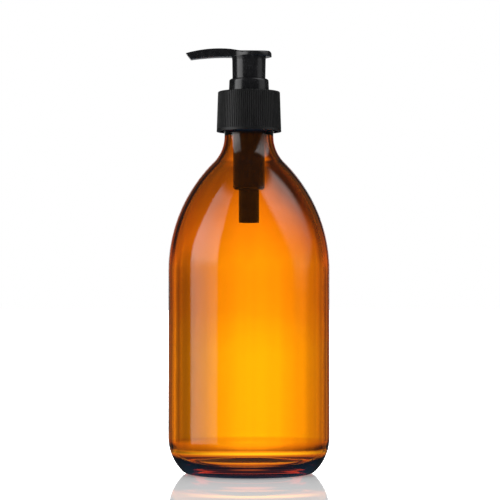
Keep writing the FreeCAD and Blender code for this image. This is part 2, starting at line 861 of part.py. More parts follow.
def cut_plan_outline(body):
    """Cuts the block back to the head's plan: a round pad that narrows into the nozzle."""
    fillet_rise = "(nozzle_half_width + plan_fillet)"
    reach = "(pad_radius + plan_fillet)"
    fillet_run = f"sqrt({reach}^2 - {fillet_rise}^2)"
    joint_x = f"(pad_centre - {fillet_run} * pad_radius / {reach})"
    joint_y = f"({fillet_rise} * pad_radius / {reach})"
    root_x = f"(pad_centre - {fillet_run})"
    sketch = new_sketch(body, "plan_outline", "XY_Plane")
    outline(
        sketch,
        [
            ("-tip_reach - cut_margin", "-head_block"),
            ("pad_centre + pad_radius + cut_margin", "-head_block"),
            ("pad_centre + pad_radius + cut_margin", "head_block"),
            ("-tip_reach - cut_margin", "head_block"),
        ],
    )
    outline(
        sketch,
        [
            ("-tip_reach - tip_margin", "tip_round - tip_half_width"),
            ("-tip_reach - tip_margin + tip_round", "-tip_half_width", "tip_round", -1),
            (root_x, "-nozzle_half_width"),
            (joint_x, f"-{joint_y}", "plan_fillet", 1),
            ("pad_centre", "-pad_radius", "pad_radius", -1),
            ("pad_centre + pad_radius", "0", "pad_radius", -1),
            ("pad_centre", "pad_radius", "pad_radius", -1),
            (joint_x, joint_y, "pad_radius", -1),
            (root_x, "nozzle_half_width", "plan_fillet", 1),
            ("-tip_reach - tip_margin + tip_round", "tip_half_width"),
            ("-tip_reach - tip_margin", "tip_half_width - tip_round", "tip_round", -1),
        ],
    )
    pocket = body.newObject("PartDesign::Pocket", "plan")
    pocket.Profile = sketch
    pocket.Type = "ThroughAll"
    pocket.Midplane = True
    document.recompute()


def round_top_edges(body):
    """Rounds the long upper edges of the nozzle and the pad."""
    solid = body.Tip
    lowest = DIMENSIONS["tip_high"][0] - EDGE_SLACK
    names = []
    for number, edge in enumerate(solid.Shape.Edges, start=1):
        box = edge.BoundBox
        middle = edge.valueAt((edge.FirstParameter + edge.LastParameter) / 2)
        off_centre = abs(middle.y) > EDGE_LEAST
        if off_centre and box.ZMin > lowest and box.XLength > EDGE_LEAST:
            names.append(f"Edge{number}")
    fillet = body.newObject("PartDesign::Fillet", "soft_edges")
    fillet.Base = (solid, names)
    fillet.setExpression("Radius", bound("head_edge"))
    document.recompute()


def cut_channel(body):
    """The arched channel from the stem to the tip of the nozzle."""
    path = new_sketch(body, "channel_path")
    outline(
        path,
        [
            ("0", "channel_height"),
            ("-channel_reach", "channel_exit", "channel_sweep", -1),
        ],
        closed=False,
    )
    section = new_sketch(body, "channel_section", "YZ_Plane")
    circle(section, "0", "channel_height", "channel_radius")
    channel = body.newObject("PartDesign::SubtractivePipe", "channel")
    channel.Profile = section
    channel.Spine = path
    document.recompute()


# ---------------------------------------------------------------- build, check and write
MAKERS = [
    make_bottle,
    make_closure,
    make_gasket,
    make_pump_housing,
    make_chaplet,
    make_stem_guide,
    make_stem,
    make_piston_seal,
    make_inlet_ball,
    make_outlet_ball,
    make_ball_cage,
    make_return_spring,
    make_dip_tube,
    make_actuator_head,
]


def check_features():
    """Stops if any object of the document failed to compute."""
    for item in document.Objects:
        if "Invalid" in item.State or "Error" in item.State:
            raise RuntimeError(f"{item.Name} did not compute: {item.State}")


def check_solid(body):
    """Stops unless the body holds one valid solid."""
    shape = body.Shape
    if shape.isNull() or not shape.isValid() or len(shape.Solids) != 1:
        raise RuntimeError(f"{body.Label} is not one valid solid")


bodies = [maker() for maker in MAKERS]
document.recompute()
check_features()
for piece in bodies:
    check_solid(piece)
os.makedirs("parts", exist_ok=True)
for piece in bodies:
    piece.Shape.exportStep(f"parts/{piece.Label}.step")
    print(f"{piece.Label}: {piece.Shape.Volume:.1f} mm3")
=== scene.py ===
"""Looks of the soap pump dispenser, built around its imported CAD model.

Metres, +Z up, the nozzle along -X, the base's centre at the origin. The glass, the chaplet, the
head and the housing are fine meshes that stand for their CAD nodes; the closure and the pump's
inner pieces are the CAD nodes with their own materials.
"""
import math

import bmesh
import bpy
import numpy as np
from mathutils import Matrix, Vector


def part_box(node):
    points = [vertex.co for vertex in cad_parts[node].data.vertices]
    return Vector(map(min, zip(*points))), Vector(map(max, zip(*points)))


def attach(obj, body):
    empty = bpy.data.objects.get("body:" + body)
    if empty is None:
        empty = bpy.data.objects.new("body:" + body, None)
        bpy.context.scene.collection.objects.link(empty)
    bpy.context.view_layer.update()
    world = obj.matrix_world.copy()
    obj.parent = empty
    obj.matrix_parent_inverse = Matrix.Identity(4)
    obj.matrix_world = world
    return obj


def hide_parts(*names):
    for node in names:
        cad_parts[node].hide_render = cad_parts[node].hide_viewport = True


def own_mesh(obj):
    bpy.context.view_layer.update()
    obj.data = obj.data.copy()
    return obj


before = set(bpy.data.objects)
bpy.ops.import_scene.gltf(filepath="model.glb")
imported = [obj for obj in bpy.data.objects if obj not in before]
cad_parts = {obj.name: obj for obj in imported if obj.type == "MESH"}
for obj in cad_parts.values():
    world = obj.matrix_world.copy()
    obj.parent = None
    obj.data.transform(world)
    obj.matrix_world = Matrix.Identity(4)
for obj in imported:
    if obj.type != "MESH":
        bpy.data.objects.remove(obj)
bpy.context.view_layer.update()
MM = 0.001

# ---------------------------------------------------------------- sizes from the frame
BODY_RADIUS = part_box("bottle")[1][0] / MM
GLASS_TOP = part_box("bottle")[1][2] / MM
HOUSING_LOW, HOUSING_HIGH = (corner[2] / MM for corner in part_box("pump_housing"))
CHAPLET_LOW, CHAPLET_HIGH = (corner[2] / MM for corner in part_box("chaplet"))
CHAPLET_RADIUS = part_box("chaplet")[1][0] / MM
HEAD_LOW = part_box("actuator_head")[0][2] / MM
HEAD_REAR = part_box("actuator_head")[1][0] / MM
NOZZLE_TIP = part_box("actuator_head")[0][0] / MM

ROUND_STEPS = 192
SMALL_ROUND_STEPS = 128
ARC_STEP = 0.8
SMOOTH_BELOW = 35


# ---------------------------------------------------------------- outlines
def arc_points(start, end, radius, bulge, step):
    """Points after start, up to end, on the arc of a radius. bulge is 1 to pass on the left."""
    start = np.array(start, float)
    end = np.array(end, float)
    chord = end - start
    length = np.hypot(*chord)
    right = np.array([chord[1], -chord[0]]) / length
    centre = (start + end) / 2 + right * bulge * math.sqrt(max(radius**2 - length**2 / 4, 0))
    turn = 2 * math.asin(min(length / 2 / radius, 1)) * -bulge
    count = max(int(abs(turn) * radius / step), 6)
    points = []
    for number in range(1, count + 1):
        angle = turn * number / count
        spoke = start - centre
        cos, sin = math.cos(angle), math.sin(angle)
        points.append(
            (
                centre[0] + spoke[0] * cos - spoke[1] * sin,
                centre[1] + spoke[0] * sin + spoke[1] * cos,
            )
        )
    return points


def chain(steps, step=ARC_STEP):
    """Points along lines and arcs. A step is (x, y), or (x, y, radius, bulge) for an arc to it."""
    points = [tuple(steps[0][:2])]
    for item in steps[1:]:
        if len(item) == 2:
            start = points[-1]
            length = math.dist(start, item)
            count = max(int(length / (step * 4)), 1)
            for number in range(1, count + 1):
                share = number / count
                points.append(
                    (
                        start[0] + (item[0] - start[0]) * share,
                        start[1] + (item[1] - start[1]) * share,
                    )
                )
        else:
            points.extend(arc_points(points[-1], item[:2], item[2], item[3], step))
    return points


def softened(steps, radius):
    """The same corners, each cut back by a small round. Only for outlines of straight lines."""
    rounded = []
    count = len(steps)
    for number, corner in enumerate(steps):
        before = np.array(steps[number - 1], float)
        after = np.array(steps[(number + 1) % count], float)
        here = np.array(corner, float)
        if here[0] < radius:
            rounded.append(tuple(here))
            continue
        back = before - here
        ahead = after - here
        back_length = np.hypot(*back)
        ahead_length = np.hypot(*ahead)
        cut = min(radius, back_length * 0.4, ahead_length * 0.4)
        first = here + back / back_length * cut
        last = here + ahead / ahead_length * cut
        for share in (0, 0.25, 0.5, 0.75, 1):
            point = (
                first * (1 - share) ** 2 + here * 2 * share * (1 - share) + last * share**2
            )
            rounded.append(tuple(point))
    return rounded


# ---------------------------------------------------------------- mesh helpers
def make_object(name, vertices, faces):
    """A smooth-shaded object from vertices in millimetres."""
    mesh = bpy.data.meshes.new(name)
    mesh.from_pydata([tuple(v * MM for v in vertex) for vertex in vertices], [], faces)
    mesh.validate()
    work = bmesh.new()
    work.from_mesh(mesh)
    bmesh.ops.remove_doubles(work, verts=work.verts, dist=1e-7)
    bmesh.ops.recalc_face_normals(work, faces=work.faces)
    work.to_mesh(mesh)
    work.free()
    mesh.shade_smooth()
    item = bpy.data.objects.new(name, mesh)
    bpy.context.scene.collection.objects.link(item)
    return item


def lathe(name, outline, segments=SMALL_ROUND_STEPS, shape=None):
    """Turns a closed outline of (radius, height) points about Z. shape may move each vertex."""
    vertices = []
    for radius, height in outline:
        for number in range(segments):
            angle = 2 * math.pi * number / segments
            out = shape(radius, height, angle) if shape else radius
            vertices.append((out * math.cos(angle), out * math.sin(angle), height))
    faces = []
    rows = len(outline)
    for row in range(rows):
        following = (row + 1) % rows
        if outline[row][0] == 0 and outline[following][0] == 0:
            continue
        for number in range(segments):
            beside = (number + 1) % segments
            faces.append(
                (
                    row * segments + number,
                    row * segments + beside,
                    following * segments + beside,
                    following * segments + number,
                )
            )
    return make_object(name, vertices, faces)


def keep_edges(item, degrees=40):
    """Keeps edges sharper than an angle crisp under smooth shading."""
    for edge in item.data.edges:
        edge.use_edge_sharp = False
    work = bmesh.new()
    work.from_mesh(item.data)
    for edge in work.edges:
        if len(edge.link_faces) == 2 and edge.calc_face_angle() > math.radians(degrees):
            edge.smooth = False
    work.to_mesh(item.data)
    work.free()


# ---------------------------------------------------------------- materials
def new_material(name):
    """A material with its node tree, its principled shader and its output."""
    material = bpy.data.materials.new(name)
    material.use_nodes = True
    tree = material.node_tree
    shader = tree.nodes["Principled BSDF"]
    output = tree.nodes["Material Output"]
    return material, tree, shader, output


def object_noise(tree, scale, detail=3.0, roughness=0.5):
    """A noise texture in object space, scale in cells to the metre."""
    place = tree.nodes.new("ShaderNodeTexCoord")
    noise = tree.nodes.new("ShaderNodeTexNoise")
    noise.inputs["Scale"].default_value = scale
    noise.inputs["Detail"].default_value = detail
    noise.inputs["Roughness"].default_value = roughness
    tree.links.new(place.outputs["Object"], noise.inputs["Vector"])
    return noise


def spread(tree, source, low, high):
    """Maps a noise onto a range."""
    ramp = tree.nodes.new("ShaderNodeMapRange")
    ramp.inputs["From Min"].default_value = 0.3
    ramp.inputs["From Max"].default_value = 0.7
    ramp.inputs["To Min"].default_value = low
    ramp.inputs["To Max"].default_value = high
    tree.links.new(source.outputs["Fac"], ramp.inputs["Value"])
    return ramp


def add_bump(tree, shader, source, strength, distance):
    """Bumps the shader by a noise, distance in metres."""
    bump = tree.nodes.new("ShaderNodeBump")
    bump.inputs["Strength"].default_value = strength
    bump.inputs["Distance"].default_value = distance
    tree.links.new(source.outputs["Fac"], bump.inputs["Height"])
    tree.links.new(bump.outputs["Normal"], shader.inputs["Normal"])


def plastic(name, dark, light, rough, grain, depth, sheen_rough=0.05):
    """Moulded plastic: a faint mottle of colour and gloss, and a fine moulded grain."""
    material, tree, shader, _ = new_material(name)
    mottle = object_noise(tree, 420.0)
    colour = tree.nodes.new("ShaderNodeValToRGB")
    colour.color_ramp.elements[0].position = 0.35
    colour.color_ramp.elements[0].color = (*dark, 1)
    colour.color_ramp.elements[1].position = 0.65
    colour.color_ramp.elements[1].color = (*light, 1)
    tree.links.new(mottle.outputs["Fac"], colour.inputs["Fac"])
    tree.links.new(colour.outputs["Color"], shader.inputs["Base Color"])
    gloss = spread(tree, mottle, rough - sheen_rough, rough + sheen_rough)
    tree.links.new(gloss.outputs["Result"], shader.inputs["Roughness"])
    add_bump(tree, shader, object_noise(tree, grain, 2.0), 0.35, depth)
    return material


def metal(name, colour, rough):
    """Drawn or ground metal with faint changes of gloss."""
    material, tree, shader, _ = new_material(name)
    shader.inputs["Metallic"].default_value = 1.0
    noise = object_noise(tree, 1800.0, 4.0)
    tint = tree.nodes.new("ShaderNodeValToRGB")
    tint.color_ramp.elements[0].color = (*(part * 0.85 for part in colour), 1)
    tint.color_ramp.elements[1].color = (*colour, 1)
    tree.links.new(noise.outputs["Fac"], tint.inputs["Fac"])
    tree.links.new(tint.outputs["Color"], shader.inputs["Base Color"])
    gloss = spread(tree, noise, rough * 0.7, rough * 1.3)
    tree.links.new(gloss.outputs["Result"], shader.inputs["Roughness"])
    return material


AMBER_DENSITY = 1700.0
AMBER_COLOUR = (0.9706, 0.841, 0.0588, 1)
GLASS_IOR = 1.5


def amber_glass():
    """Amber container glass: its colour comes from the thickness that light crosses."""
    material, tree, shader, output = new_material("amber_glass")
    shader.inputs["Base Color"].default_value = (1, 1, 1, 1)
    shader.inputs["Transmission Weight"].default_value = 1.0
    shader.inputs["IOR"].default_value = GLASS_IOR
    ripple = object_noise(tree, 38.0, 2.0, 0.4)
    gloss = spread(tree, ripple, 0.0, 0.02)
    tree.links.new(gloss.outputs["Result"], shader.inputs["Roughness"])
    add_bump(tree, shader, ripple, 0.25, 0.0006)
    volume = tree.nodes.new("ShaderNodeVolumeAbsorption")
    volume.inputs["Density"].default_value = AMBER_DENSITY
    volume.inputs["Color"].default_value = AMBER_COLOUR
    tree.links.new(volume.outputs["Volume"], output.inputs["Volume"])
    return material


def clear_tube_material():
    """Thin clear tubing, which hardly shows inside the bottle."""
    material, tree, shader, _ = new_material("clear_tube")
    shader.inputs["Transmission Weight"].default_value = 1.0
    shader.inputs["IOR"].default_value = 1.0
    shader.inputs["Roughness"].default_value = 0.0
    haze = object_noise(tree, 160.0)
    tint = tree.nodes.new("ShaderNodeValToRGB")
    tint.color_ramp.elements[0].color = (0.97, 0.975, 0.975, 1)
    tint.color_ramp.elements[1].color = (0.995, 1.0, 1.0, 1)
    tree.links.new(haze.outputs["Fac"], tint.inputs["Fac"])
    tree.links.new(tint.outputs["Color"], shader.inputs["Base Color"])
    return material


def ball_glass():
    """Clear glass of the inlet valve's ball."""
    material, tree, shader, _ = new_material("ball_glass")
    shader.inputs["Base Color"].default_value = (0.9, 0.95, 0.95, 1)
    shader.inputs["Transmission Weight"].default_value = 1.0
    gloss = spread(tree, object_noise(tree, 900.0), 0.0, 0.05)
    tree.links.new(gloss.outputs["Result"], shader.inputs["Roughness"])
    return material


def dress(name, material):
    """Puts a material on a CAD node."""
    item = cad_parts[name]
    item.data.materials.clear()
    item.data.materials.append(material)
    keep_smooth(item)


def keep_smooth(item):
    """Leaves a CAD node's mesh as it is and softens its facets where they meet gently."""
    smooth = item.modifiers.new("smooth_by_angle", "EDGE_SPLIT")
    smooth.split_angle = math.radians(SMOOTH_BELOW)


def place(item, material, body, node=None, slot=None):
    """Gives a new piece its material and its body, and hides the CAD node it stands for."""
    item.data.materials.append(material)
    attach(item, body)
    if node:
        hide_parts(node)


# ---------------------------------------------------------------- bottle
HEEL_TOP = 17.5
HEEL_SWEEP = 23.0
FOOT_SWEEP = 5.0
FOOT_FLAT = 1.5
SHOULDER_START = 96.6
SHOULDER_SWEEP = 72.8
NECK_SWEEP = 17.4
NECK_RADIUS = 11.72
NECK_BORE = 9.25
BEAD_LOW, BEAD_HIGH, BEAD_RADIUS = 163.6, 165.6, 13.5
FINISH_RADIUS = 12.55
WALL = 2.3
FLOOR_EDGE_HEIGHT, FLOOR_CROWN, FLOOR_SWEEP = 3.6, 7.6, 10.0
PUNT_RADIUS, PUNT_STEP, PUNT_HEIGHT = 24.0, 1.6, 4.6
THREAD_PITCH = 3.175
THREAD_START, THREAD_TURNS = 168.3, 1.5
THREAD_RADIUS, THREAD_ROOT, THREAD_CREST = 13.65, 1.05, 0.5
THREAD_RUN_OUT = 0.06
FINISH_STEP = 0.22


def cap_sweep(edge, rise):
    """Radius of the sphere of which a cap has this edge radius and this rise."""
    return (edge**2 + rise**2) / (2 * rise)


def bottle_outline():
    """The glass's closed section: up the outside, over the lip and down the inside."""
    heel_centre = BODY_RADIUS - HEEL_SWEEP
    foot_offset = HEEL_SWEEP - FOOT_SWEEP
    foot_drop = HEEL_TOP - FOOT_SWEEP
    foot_run = math.sqrt(foot_offset**2 - foot_drop**2)
    heel_share = HEEL_SWEEP / foot_offset
    ring = heel_centre + foot_run
    centre = BODY_RADIUS - SHOULDER_SWEEP
    sweeps = SHOULDER_SWEEP + NECK_SWEEP
    across = NECK_RADIUS + NECK_SWEEP - centre
    climb = math.sqrt(sweeps**2 - across**2)
    neck_start = SHOULDER_START + climb
    outer = SHOULDER_SWEEP / sweeps
    inner = (SHOULDER_SWEEP - WALL) / sweeps
    floor_edge = BODY_RADIUS - WALL - FLOOR_SWEEP
    punt_sweep = cap_sweep(PUNT_RADIUS, PUNT_HEIGHT - PUNT_STEP)
    floor_dome = cap_sweep(floor_edge, FLOOR_CROWN - FLOOR_EDGE_HEIGHT)
    joint = (centre + across * outer, SHOULDER_START + climb * outer)
    inner_joint = (centre + across * inner, SHOULDER_START + climb * inner)
    outside = chain(
        [
            (0, PUNT_HEIGHT),
            (PUNT_RADIUS, PUNT_STEP, punt_sweep, 1),
            (ring - FOOT_FLAT, 0, cap_sweep(ring - FOOT_FLAT - PUNT_RADIUS, PUNT_STEP), -1),
            (ring, 0),
            (
                heel_centre + foot_run * heel_share,
                HEEL_TOP - foot_drop * heel_share,
                FOOT_SWEEP,
                -1,
            ),
            (BODY_RADIUS, HEEL_TOP, HEEL_SWEEP, -1),
            (BODY_RADIUS, SHOULDER_START),
            (*joint, SHOULDER_SWEEP, -1),
            (NECK_RADIUS, neck_start, NECK_SWEEP, 1),
            (NECK_RADIUS, BEAD_LOW),
            (BEAD_RADIUS, BEAD_LOW + 0.6),
            (BEAD_RADIUS, BEAD_HIGH - 0.6),
            (FINISH_RADIUS, BEAD_HIGH),
        ]
    )
    finish_high = GLASS_TOP - 0.8
    rows = int((finish_high - BEAD_HIGH) / FINISH_STEP)
    finish = [
        (FINISH_RADIUS, BEAD_HIGH + (finish_high - BEAD_HIGH) * number / rows)
        for number in range(1, rows + 1)
    ]
    inside = chain(
        [
            (FINISH_RADIUS, finish_high),
            (FINISH_RADIUS - 0.8, GLASS_TOP, 0.8, -1),
            (NECK_BORE + 0.5, GLASS_TOP),
            (NECK_BORE, GLASS_TOP - 0.5, 0.5, -1),
            (NECK_BORE, neck_start),
            (*inner_joint, NECK_SWEEP + NECK_RADIUS - NECK_BORE, -1),
            (BODY_RADIUS - WALL, SHOULDER_START, SHOULDER_SWEEP - WALL, 1),
            (BODY_RADIUS - WALL, FLOOR_EDGE_HEIGHT + FLOOR_SWEEP),
            (floor_edge, FLOOR_EDGE_HEIGHT, FLOOR_SWEEP, 1),
            (0, FLOOR_CROWN, floor_dome, -1),
        ]
    )
    points = outside + finish + inside[1:]
    points[-1] = (0, points[-1][1])
    return points


def thread_shape(radius, height, angle):
    """Raises the helical thread on the finish."""
    if abs(radius - FINISH_RADIUS) > 0.001 or height <= BEAD_HIGH:
        return radius
    best = radius
    for lap in range(int(THREAD_TURNS) + 1):
        turns = lap + angle / (2 * math.pi)
        if turns > THREAD_TURNS:
            continue
        off = abs(height - THREAD_START - turns * THREAD_PITCH)
        share = min(max((THREAD_ROOT - off) / (THREAD_ROOT - THREAD_CREST), 0), 1)
        run = min(turns, THREAD_TURNS - turns) / THREAD_RUN_OUT
        best = max(best, radius + (THREAD_RADIUS - radius) * share * min(run, 1))
    return best


def make_bottle():
    glass = lathe("bottle_glass", bottle_outline(), ROUND_STEPS, thread_shape)
    place(glass, amber_glass(), "glass", "bottle")


# ---------------------------------------------------------------- chaplet and housing
def make_chaplet(material):
    outline = chain(
        [
            (8.95, CHAPLET_LOW + 0.15),
            (9.1, CHAPLET_LOW),
            (CHAPLET_RADIUS - 0.25, CHAPLET_LOW),
            (CHAPLET_RADIUS, CHAPLET_LOW + 0.25, 0.25, -1),
            (CHAPLET_RADIUS - 0.21, CHAPLET_HIGH - 0.75),
            (8.75, CHAPLET_HIGH, 1.1, -1),
            (8.45, CHAPLET_HIGH),
            (8.3, CHAPLET_HIGH - 0.15, 0.15, -1),
            (8.3, HOUSING_HIGH),
            (8.95, HOUSING_HIGH),
        ],
        0.15,
    )
    ring = lathe("chaplet_ring", outline)
    keep_edges(ring, 60)
    place(ring, material, "pump", "chaplet")


def make_housing(material):
    corners = [
        (3.5, HOUSING_LOW),
        (4.875, HOUSING_LOW),
        (4.875, 134.8),
        (6.65, 134.8),
        (7.55, 135.7),
        (7.55, 169.2),
        (8.95, 171.0),
        (8.95, 179.4),
        (12.9, 179.4),
        (12.9, 180.5),
        (8.95, 180.5),
        (8.95, HOUSING_HIGH),
        (8.3, HOUSING_HIGH),
        (8.3, 171.6),
        (6.55, 171.6),
        (6.55, 136.6),
        (3.2, 136.6),
        (1.5, 134.9),
        (1.5, 131.5),
        (3.5, 131.5),
    ]
    tube = lathe("pump_barrel", softened(corners, 0.25), SMALL_ROUND_STEPS)
    keep_edges(tube, 60)
    place(tube, material, "pump", "pump_housing")


# ---------------------------------------------------------------- head
PAD_RADIUS = 8.4
PAD_CENTRE = HEAD_REAR - PAD_RADIUS
PLAN_FILLET = 7.0
NOZZLE_HALF_WIDTH = 3.7
TIP_HALF_WIDTH = 3.0
TIP_SLANT = 2.35
SLANT_END = -14.0
SECTION_CORNER = 8
TOP_EDGE_NOZZLE = 0.9
TOP_EDGE_PAD = 1.1
LOW_EDGE = 0.45
CHANNEL_RADIUS = 1.1
CHANNEL_SLOPE = 0.1
CHANNEL_DEPTH = 8.0

TOP_LINE = chain(
    [
        (NOZZLE_TIP, 200.4),
        (-9.0, 202.38, 59.0, 1),
        (-5.5, 201.76, 29.5, 1),
        (-2.0, 201.22, 21.3, -1),
        (9.4, 201.3, 75.0, -1),
        (HEAD_REAR, 199.9, 1.5, 1),
    ],
    0.15,
)
LOW_LINE = chain(
    [
        (NOZZLE_TIP + TIP_SLANT, 197.4),
        (-11.0, 198.65, 118.0, 1),
        (HEAD_REAR, 198.75),
    ],
    0.15,
)


def height_on(line, across):
    """Height of an outline above a place along X."""
    places = [point[0] for point in line]
    heights = [point[1] for point in line]
    return float(np.interp(across, places, heights))


def half_width(across):
    """The head's half width in plan."""
    rise = NOZZLE_HALF_WIDTH + PLAN_FILLET
    run = math.sqrt((PAD_RADIUS + PLAN_FILLET) ** 2 - rise**2)
    root = PAD_CENTRE - run
    joint = PAD_CENTRE - run * PAD_RADIUS / (PAD_RADIUS + PLAN_FILLET)
    if across <= root:
        share = (across - NOZZLE_TIP) / (root - NOZZLE_TIP)
        return TIP_HALF_WIDTH + (NOZZLE_HALF_WIDTH - TIP_HALF_WIDTH) * share
    if across <= joint:
        return rise - math.sqrt(PLAN_FILLET**2 - (across - root) ** 2)
    return math.sqrt(max(PAD_RADIUS**2 - (across - PAD_CENTRE) ** 2, 0))


def section(top, low, width, top_edge, low_edge):
    """A ring of points round a section of the head, from the middle of its underside.

    top and low are (x, z) of its upper and lower middles.
    """
    top = np.array(top)
    low = np.array(low)
    height = np.hypot(*(top - low))
    up = (top - low) / height
    top_round = min(top_edge, width * 0.9, height * 0.48)
    low_round = min(low_edge, width * 0.9, height * 0.4)
    half = []
    half.append((0, 0))
    half.append(((width - low_round) * 0.5, 0))
    for number in range(SECTION_CORNER + 1):
        angle = math.pi / 2 * number / SECTION_CORNER
        half.append(
            (
                width - low_round + low_round * math.sin(angle),
                low_round - low_round * math.cos(angle),
            )
        )
    half.append((width, height / 2))
    for number in range(SECTION_CORNER + 1):
        angle = math.pi / 2 * number / SECTION_CORNER
        half.append(
            (
                width - top_round + top_round * math.cos(angle),
                height - top_round + top_round * math.sin(angle),
            )
        )
    half.append(((width - top_round) * 0.6, height))
    half.append(((width - top_round) * 0.3, height))
    half.append((0, height))
    ring = half + [(-side, rise) for side, rise in half[-2:0:-1]]
    return [
        (low[0] + up[0] * rise, side, low[1] + up[1] * rise) for side, rise in ring
    ]


def head_places():
    """Places along X for the head's sections, close together where its outline turns."""
    nozzle = [NOZZLE_TIP + 0.55 * number for number in range(int((0 - NOZZLE_TIP) / 0.55))]
    spread_angles = [math.radians(110 - 2.5 * number) for number in range(44)]
    pad = [PAD_CENTRE + PAD_RADIUS * math.cos(angle) for angle in spread_angles]
    places = sorted(nozzle + [place for place in pad if place > nozzle[-1] + 0.2])
    return [place for place in places if place < HEAD_REAR - 0.004]


def make_head(material):
    """The thumb pad and the nozzle as one skin, with the mouth of the channel at the tip."""
    rings = []
    for across in head_places():
        slant = (SLANT_END - across) / (SLANT_END - NOZZLE_TIP)
        slant = min(max(slant, 0), 1) ** 1.5
        low_x = across + TIP_SLANT * slant
        share = min(max((across + 9) / 9, 0), 1)
        edge = TOP_EDGE_NOZZLE + (TOP_EDGE_PAD - TOP_EDGE_NOZZLE) * share
        rings.append(
            section(
                (across, height_on(TOP_LINE, across)),
                (low_x, height_on(LOW_LINE, low_x)),
                half_width(across),
                edge,
                LOW_EDGE,
            )
        )
    rings = tip_rings(rings[0]) + rings
    count = len(rings[0])
    vertices = [vertex for ring in rings for vertex in ring]
    faces = []
    for row in range(len(rings) - 1):
        for number in range(count):
            beside = (number + 1) % count
            faces.append(
                (
                    row * count + number,
                    row * count + beside,
                    (row + 1) * count + beside,
                    (row + 1) * count + number,
                )
            )
    faces.append(tuple(range(count)))
    faces.append(tuple((len(rings) - 1) * count + number for number in range(count)))
    head = make_object("head_pad_and_nozzle", vertices, faces)
    keep_edges(head, 50)
    place(head, material, "head", "actuator_head")


def tip_rings(edge_ring):
    """Rings from inside the channel out to the tip's rim, the deepest first."""
    ring = np.array(edge_ring)
    centre = ring.mean(axis=0)
    up = ring[len(ring) // 2] - ring[0]
    up = up / np.linalg.norm(up)
    inward = np.array([1, 0, CHANNEL_SLOPE])
    offsets = ring - centre
    angles = np.arctan2(offsets[:, 1], offsets @ up)
    circle = (
        centre
        + np.outer(np.cos(angles), up) * CHANNEL_RADIUS
        + np.outer(np.sin(angles), [0, 1, 0]) * CHANNEL_RADIUS
    )
    middle = centre + offsets * 0.9
    layers = [
        circle + inward * CHANNEL_DEPTH,
        circle + inward * CHANNEL_DEPTH / 2,
        circle + inward * 0.3,
        centre + (circle - centre) * 1.1,
        (centre + (circle - centre) * 1.3 + middle) / 2,
        middle,
        centre + offsets * 0.96,
    ]
    return [[tuple(point) for point in layer] for layer in layers]


def make_skirt(material):
    """The head's hollow skirt and the stem's socket inside it."""
    top = 198.95
    outline = chain(
        [
            (7.0, HEAD_LOW + 0.2),
            (7.2, HEAD_LOW),
            (7.68, HEAD_LOW),
            (7.88, HEAD_LOW + 0.2, 0.2, -1),
            (8.04, 196.8),
            (8.3, 198.75, 9.0, 1),
            (8.3, top),
            (0, top),
            (0, 195.5),
            (3.5, 195.5),
            (3.5, 189.6),
            (3.6, 189.5),
            (4.6, 189.5),
            (4.7, 189.6),
            (4.7, 197.7),
            (5.0, 198.0, 0.3, -1),
            (6.7, 198.0),
            (7.0, 197.7, 0.3, -1),
        ],
        0.25,
    )
    skirt = lathe("head_skirt", outline)
    keep_edges(skirt, 60)
    place(skirt, material, "head", slot="actuator_head")


# ---------------------------------------------------------------- spring
SPRING_RADIUS = 4.45
WIRE_RADIUS = 0.45
SPRING_TURNS = 7.0
DEAD_TURNS = 0.9
WIRE_STEPS = 12
COIL_STEPS = 40


def make_spring(material):
    """The return spring, with its end coils closed and its free coils evenly open."""
    low, high = (corner[2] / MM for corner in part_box("return_spring"))
    low += WIRE_RADIUS
    high -= WIRE_RADIUS
    dead_rise = DEAD_TURNS * WIRE_RADIUS * 2
    steps = int(SPRING_TURNS * COIL_STEPS)
    vertices = []
    for number in range(steps + 1):
        turns = SPRING_TURNS * number / steps
        knots = [0, DEAD_TURNS, SPRING_TURNS - DEAD_TURNS, SPRING_TURNS]
        heights = [low, low + dead_rise, high - dead_rise, high]
        height = float(np.interp(turns, knots, heights))
        angle = 2 * math.pi * turns
        for side in range(WIRE_STEPS):
            around = 2 * math.pi * side / WIRE_STEPS
            radius = SPRING_RADIUS + WIRE_RADIUS * math.cos(around)
            vertices.append(
                (
                    radius * math.cos(angle),
                    radius * math.sin(angle),
                    height + WIRE_RADIUS * math.sin(around),
                )
            )
    faces = []
    for row in range(steps):
        for side in range(WIRE_STEPS):
            beside = (side + 1) % WIRE_STEPS
            faces.append(
                (
                    row * WIRE_STEPS + side,
                    row * WIRE_STEPS + beside,
                    (row + 1) * WIRE_STEPS + beside,
                    (row + 1) * WIRE_STEPS + side,
                )
            )
    faces.append(tuple(range(WIRE_STEPS)))
    faces.append(tuple(steps * WIRE_STEPS + side for side in range(WIRE_STEPS)))
    spring = make_object("spring_coil", vertices, faces)
    place(spring, material, "pump", "return_spring")
    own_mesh(spring)


# ---------------------------------------------------------------- camera, floor and light
CAMERA_DISTANCE = 0.93
CAMERA_HEIGHT = 0.0824
CAMERA_SIDE = 0.0005
AIM_HEIGHT = 0.1063
LENS = 140.2
SENSOR = 36.0

